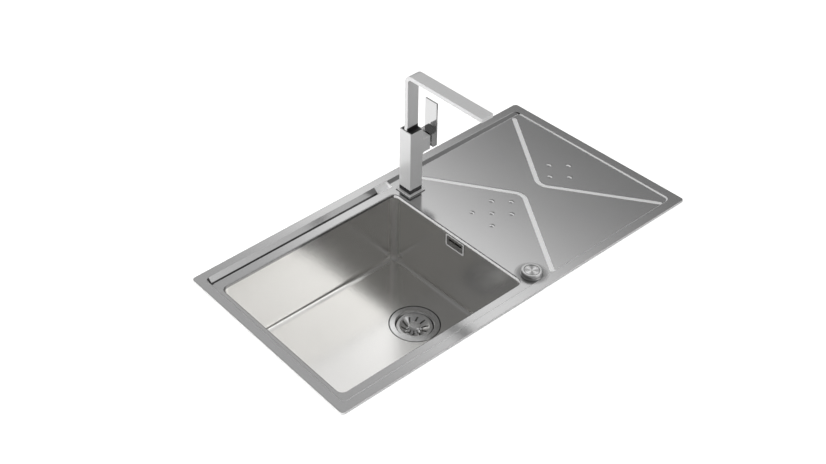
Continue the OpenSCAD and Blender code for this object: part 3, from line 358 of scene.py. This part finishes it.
deck_steel().keep("steel")

# %% [markdown]
# The bowl is brushed too and looks slightly warm, as it mirrors itself. Its rear right corner, which faces
# the camera, is duller, so the light on it is a soft band and no thin line. A dark ring is painted round the
# waste: partly the flange's black seal, partly painted shadow in the gap at its edge.

# %% The bowl's steel
BOWL_ROUGH = 0.2
CORNER = 16
SEAL_AND_SHADOW_RING = (0.1, 2)


def bowl_steel():
    steel = satin_steel("bowl_steel", level=0.91, rough=BOWL_ROUGH, warm=0.03, stretch=(1, 40, 40))
    along, back, height = places_mm(steel.tree)
    flange_low, flange_high = box_mm("waste_flange")
    flange_r = (flange_high.x - flange_low.x) / 2
    from_waste = from_axis(steel.tree, "waste_flange")[0]
    lower_half = height < (bowl_low.z + bowl_high.z) / 2
    # A dark ring on the floor round the flange: partly its black seal, partly painted shadow in the gap.
    line = between(from_waste - flange_r, *SEAL_AND_SHADOW_RING) * lower_half
    corner = (along > bowl_high.x - CORNER) * (back > bowl_high.y - CORNER)
    steel.feed({"Base Color": mix(steel.tree, line, steel.colour, grey(0.06)),
                "Roughness": grained(steel.lines, BOWL_ROUGH) * (1 - corner) + corner * DULL})
    return steel


bowl_steel().keep("bowl_steel")

# %% [markdown]
# The overflow plate is pressed. Its raised frame gets a painted highlight, pale and less metallic, and its
# sunk field is painted darker than the bowl's steel, as dark as the wall looks.

# %% The overflow plate's steel
LIP = 0.6
LIP_METAL = 0.4


def overflow_steel():
    steel = satin_steel("overflow_steel", level=0.6, rough=0.25)
    along = places_mm(steel.tree)[0]
    # The frame's lip is a painted highlight: pale and less metallic than the plate.
    lip = along < box_mm("overflow_plate")[0].x + LIP
    steel.feed({"Base Color": mix(steel.tree, lip, steel.colour, grey(0.9)),
                "Metallic": 1 - lip * (1 - LIP_METAL)})
    return steel


overflow_steel().keep("overflow_steel")

# %% [markdown]
# The tap's chrome is brushed very fine: most of its light comes back spread and only a fifth mirrored, so
# its faces look plain and pale. The column's top holds a black swivel ring, and the spout's foot is painted
# dark as its reflection.

# %% Tap chrome
RING_HALF = 16.05
RING_HEIGHTS = (-0.3, 1.5)
SPOUT_HALF = 3
FOOT_HEIGHTS = (-0.3, 9)


def tap_chrome():
    chrome = satin_steel("tap_chrome", level=0.8, rough=0.3, grain=0.03, relief=0.0)
    along, back, height = places_mm(chrome.tree)
    low, high = box_mm("tap_base_plate")
    above = height - box_mm("tap_body")[1].z
    back = back - (low.y + high.y) / 2
    across = (along - (low.x + high.x) / 2).maths("ABSOLUTE") < RING_HALF
    ring = across * (back.maths("ABSOLUTE") < RING_HALF) * between(above, *RING_HEIGHTS)
    # Painted reflection: the spout's foot is coloured dark as the mirror image of the black ring.
    spout_foot_reflection = across * (back < -SPOUT_HALF) * between(above, *FOOT_HEIGHTS)
    dark = (ring + spout_foot_reflection) > 0.5
    chrome.feed({"Base Color": mix(chrome.tree, dark, chrome.colour, grey(0.02)), "Metallic": 0.2})
    return chrome


tap_chrome().keep("chrome")

# %% [markdown]
# The knob is turned and satin. The disc let into its top is spun, and the fan of bright and dark sectors that
# light draws on spun rings is a painted reflection: the disc's colour follows the angle round its axis.
# A dark line between the two is the gap that the disc sits in.

# %% Knob and spun disc
FAN_TURN = radians(150)
TWO_SECTORS = 0.1
FOUR_SECTORS = 0.35
DISC_GAP = (15.5, 17.2)


def spun_steel():
    steel = Finish("spun_steel")
    angle = from_axis(steel.tree, "knob_disc")[1]
    twice = (angle * 2 - 2 * FAN_TURN).maths("COSINE")
    fourfold = (angle * 4).maths("COSINE")
    # Painted reflection: bright and dark sectors in the colour, by the angle round the disc's axis.
    painted_fan = twice * TWO_SECTORS + fourfold * FOUR_SECTORS + 0.5
    steel.feed({"Base Color": mix(steel.tree, painted_fan, grey(0.25), grey(0.75)), "Metallic": 1, "Roughness": 0.25})
    return steel


def knob_steel():
    steel = satin_steel("knob_steel", level=0.7, rough=0.3, grain=0.04, relief=0.01)
    gap = between(from_axis(steel.tree, "knob_disc")[0], *DISC_GAP)
    steel.feed({"Base Color": mix(steel.tree, gap, steel.colour, grey(0.1))})
    return steel


spun_steel().keep("spun_steel")
knob_steel().keep("knob_steel")

# %% [markdown]
# The pieces under the rim are rubber, foam, plastic, zinc and brass. None of them is perfectly even, so each
# has a fine mottling in its colour and a slightly uneven skin.

# %% Rubber, plastic, zinc and brass
SKIN_BUMP = 0.3 * mm


def plain(name, colour, rough, metallic=0.0, speck=0.06, scale=300, relief=0.05):
    made = Finish(name)
    grain = noise(made.tree, scale, 3)
    darker = tuple(c * (1 - speck) for c in colour) + (1,)
    lighter = tuple(min(1, c * (1 + speck)) for c in colour) + (1,)
    made.feed({"Base Color": mix(made.tree, grain, darker, lighter), "Roughness": grained(grain, rough, 0.1),
               "Metallic": metallic, "Normal": bumped(made.tree, grain, relief, SKIN_BUMP)})
    made.keep(name)


plain("dark_collar", (0.02, 0.02, 0.022), rough=0.15)
plain("foam", (0.02, 0.02, 0.02), rough=0.9, relief=0.4, scale=900)
plain("rubber", (0.012, 0.012, 0.012), rough=0.6)
plain("pad", (0.04, 0.04, 0.042), rough=0.85, relief=0.3)
plain("zinc", (0.55, 0.56, 0.57), rough=0.4, metallic=1.0, speck=0.15)
plain("brass", (0.62, 0.45, 0.17), rough=0.3, metallic=1.0)
plain("white_plastic", (0.7, 0.7, 0.67), rough=0.45)
plain("black_plastic", (0.015, 0.015, 0.016), rough=0.35)
plain("ceramic_case", (0.55, 0.58, 0.62), rough=0.4)

# %% [markdown]
# Most pieces take the finish of their own slot. A few look different from the others of their slot, and
# those are named here.

# %% A finish for every piece
slot_of = {row["node"]: row["material_slot"] for row in frame["record"]["subparts"]}
look_of = {
    "swivel_bush": "black_plastic",
    "lever_handle": "lever_chrome",
    "overflow_plate": "overflow_steel",
    "strainer_basket": "basket_steel",
    "knob": "knob_steel",
    "knob_bezel": "knob_steel",
    "knob_disc": "spun_steel",
}


def look(name):
    return finish[look_of.get(name, slot_of[name])]


for name, piece in nodes.items():
    piece.data.materials.clear()
    piece.data.materials.append(look(name))
print("finishes:", len(finish), "for", len(nodes), "pieces")

# %% [markdown]
# A pressed or machined edge is never knife-sharp, and the thin line of light on it is what makes metal look
# like metal. Each piece that the eye rests on is copied, its triangles are merged into faces, and its sharp
# edges get a small bevel. Shading is smooth, but broken at sharp edges and where a wide flat face meets a
# narrow one, because a shared normal there would bend the flat face's mirror image.

# %% Softened copies of the visible pieces
WELD = 0.001 * mm
FLAT = radians(0.1)
SHARP = radians(32)
BREAK = radians(31)
WIDE_TO_NARROW = 5
ROUNDS = 3


def sharp_edges(mesh):
    return [edge for edge in mesh.edges if edge.is_manifold and edge.calc_face_angle(0) > SHARP]


def shade(mesh):
    for face in mesh.faces:
        face.smooth = True
    for edge in mesh.edges:
        areas = sorted(face.calc_area() for face in edge.link_faces)
        gentle = edge.is_manifold and edge.calc_face_angle(0) < BREAK
        edge.smooth = gentle and areas[-1] < WIDE_TO_NARROW * areas[0]


def softened(name, width):
    """A copy of a frame piece with its sharp edges bevelled; it stands for the original."""
    mesh = bmesh.new()
    mesh.from_mesh(nodes[name].data)
    bmesh.ops.remove_doubles(mesh, verts=mesh.verts, dist=WELD)
    bmesh.ops.dissolve_limit(mesh, angle_limit=FLAT, verts=mesh.verts, edges=mesh.edges)
    bmesh.ops.bevel(mesh, geom=sharp_edges(mesh), offset=width, offset_type="OFFSET", affect="EDGES",
                    segments=ROUNDS, profile=0.5, material=-1, clamp_overlap=True)
    shade(mesh)
    data = bpy.data.meshes.new(name + "_soft")
    mesh.to_mesh(data)
    mesh.free()
    data.materials.append(look(name))
    piece = bpy.data.objects.new(name + "_soft", data)
    bpy.context.collection.objects.link(piece)
    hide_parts(name)
    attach(piece, body_of[name])
    print(name, "softened:", len(data.polygons), "faces")


body_of = {node: body for body, held in frame["record"]["behaviour"]["bodies"].items() for node in held}
edge_mm = {"tap_base_plate": 0.35, "base_collar": 0.3, "tap_body": 0.35, "spout": 0.4, "lever_handle": 0.35,
           "knob_bezel": 0.25, "overflow_plate": 0.25}
for name, width in edge_mm.items():
    softened(name, width * mm)

# %% [markdown]
# The floor is only a stage: a white sheet with a hole that the sink hangs in. It glows just enough to look
# pure white to the camera, in mirrors and through glass, and still keeps the sink's shadow.

# %% Floor
FLOOR_HALF = 12
CUT_IN = Vector((0.012, 0.012))
FLOOR_GLOW = 0.75


def sheet_with_hole(name, outer, hole_low, hole_high):
    """Four strips round a rectangular hole."""
    mesh = bmesh.new()
    rims = []
    for low, high in ((Vector((-outer, -outer)), Vector((outer, outer))), (hole_low, hole_high)):
        corners = [(low.x, low.y), (high.x, low.y), (high.x, high.y), (low.x, high.y)]
        loop = [mesh.verts.new((x, y, 0)) for x, y in corners]
        rims += [mesh.edges.new((loop[k], loop[k - 1])) for k in range(4)]
    bmesh.ops.bridge_loops(mesh, edges=rims)
    bmesh.ops.recalc_face_normals(mesh, faces=mesh.faces)
    if mesh.faces[0].normal.z < 0:
        bmesh.ops.reverse_faces(mesh, faces=mesh.faces)
    data = bpy.data.meshes.new(name)
    mesh.to_mesh(data)
    mesh.free()
    made = bpy.data.objects.new(name, data)
    bpy.context.collection.objects.link(made)
    return made


def floor_white():
    white = Finish("floor_white")
    rays = [add_node(white.tree, "ShaderNodeLightPath", output=ray)
            for ray in ("Is Camera Ray", "Is Glossy Ray", "Is Transmission Ray")]
    glow = (rays[0] + rays[1] + rays[2]) * FLOOR_GLOW
    white.feed({"Base Color": (0.9, 0.9, 0.9, 1), "Roughness": 0.8, "Emission Strength": 1,
                "Emission Color": add_node(white.tree, "ShaderNodeCombineColor", glow, glow, glow)})
    return white.material


rim_low, rim_high = (corner.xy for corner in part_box("deck"))
floor = sheet_with_hole("floor", FLOOR_HALF, rim_low + CUT_IN, rim_high - CUT_IN)
floor.data.materials.append(floor_white())
print("floor of", len(floor.data.polygons), "strips")

# %% [markdown]
# Flat steel shows the room more than itself. The room is dim, with one long softbox overhead that runs from
# front to rear and a paler band beside it to the left, so the sheet shades from light to dark along its
# length. Both are bands in the world's light, told by how far a direction turns from the softbox's plane.
# The camera sees plain white behind the sink.

# %% Room
SOFTBOX_NORMAL = (0.785, 0, -0.62)
SOFTBOX_NARROWNESS = 700
SOFTBOX_GLOW = 1.9
LEFT_OFFSET = 0.2
LEFT_NARROWNESS = 120
LEFT_GLOW = 0.66
ROOM_GLOW = 0.15


def band(aside, narrowness):
    """A soft band: one in its middle, and less the further a direction is from it."""
    return (aside * aside * narrowness + 1).maths("POWER", -1)


def room_light(tree):
    way = add_node(tree, "ShaderNodeTexCoord", output="Generated")
    aside = add_node(tree, "ShaderNodeVectorMath", way, SOFTBOX_NORMAL, output="Value",
                     operation="DOT_PRODUCT")
    overhead = part_of(way, "Z") > 0
    softbox = band(aside, SOFTBOX_NARROWNESS) * SOFTBOX_GLOW
    to_left = band(aside + LEFT_OFFSET, LEFT_NARROWNESS) * LEFT_GLOW
    return (softbox + to_left) * overhead + ROOM_GLOW


room = bpy.data.worlds.new("room")
room.use_nodes = True
seen = add_node(room.node_tree, "ShaderNodeLightPath", output="Is Camera Ray")
background = room.node_tree.nodes["Background"]
background.inputs["Color"].default_value = (1, 1, 1, 1)
plug(room.node_tree, background.inputs["Strength"], room_light(room.node_tree) * (1 - seen) + seen)
bpy.context.scene.world = room
bpy.context.scene.view_settings.view_transform = "Standard"
print("room light:", len(room.node_tree.nodes), "nodes")

# %% [markdown]
# Two lamps fill in what the dim room leaves too dark: the tap's faces on the left, and the rear. They are
# kept out of mirrors, because their round images would stand in the bowl's wall and in the basket.

# %% Lamps
MIDDLE = Vector((0, 0.2, 0))


def area_lamp(name, place, size, power):
    lamp = bpy.data.lights.new(name, "AREA")
    lamp.shape = "DISK"
    lamp.size = size
    lamp.energy = power
    holder = bpy.data.objects.new(name, lamp)
    bpy.context.collection.objects.link(holder)
    holder.visible_glossy = False
    holder.location = place
    holder.rotation_euler = (MIDDLE - Vector(place)).to_track_quat("-Z", "Y").to_euler()
    print(name, power, "W")


area_lamp("left_softbox", place=(-2.4, 0.2, 1.0), size=1.6, power=42)
area_lamp("rear_window", place=(-0.2, 2.4, 2.3), size=1.4, power=4)
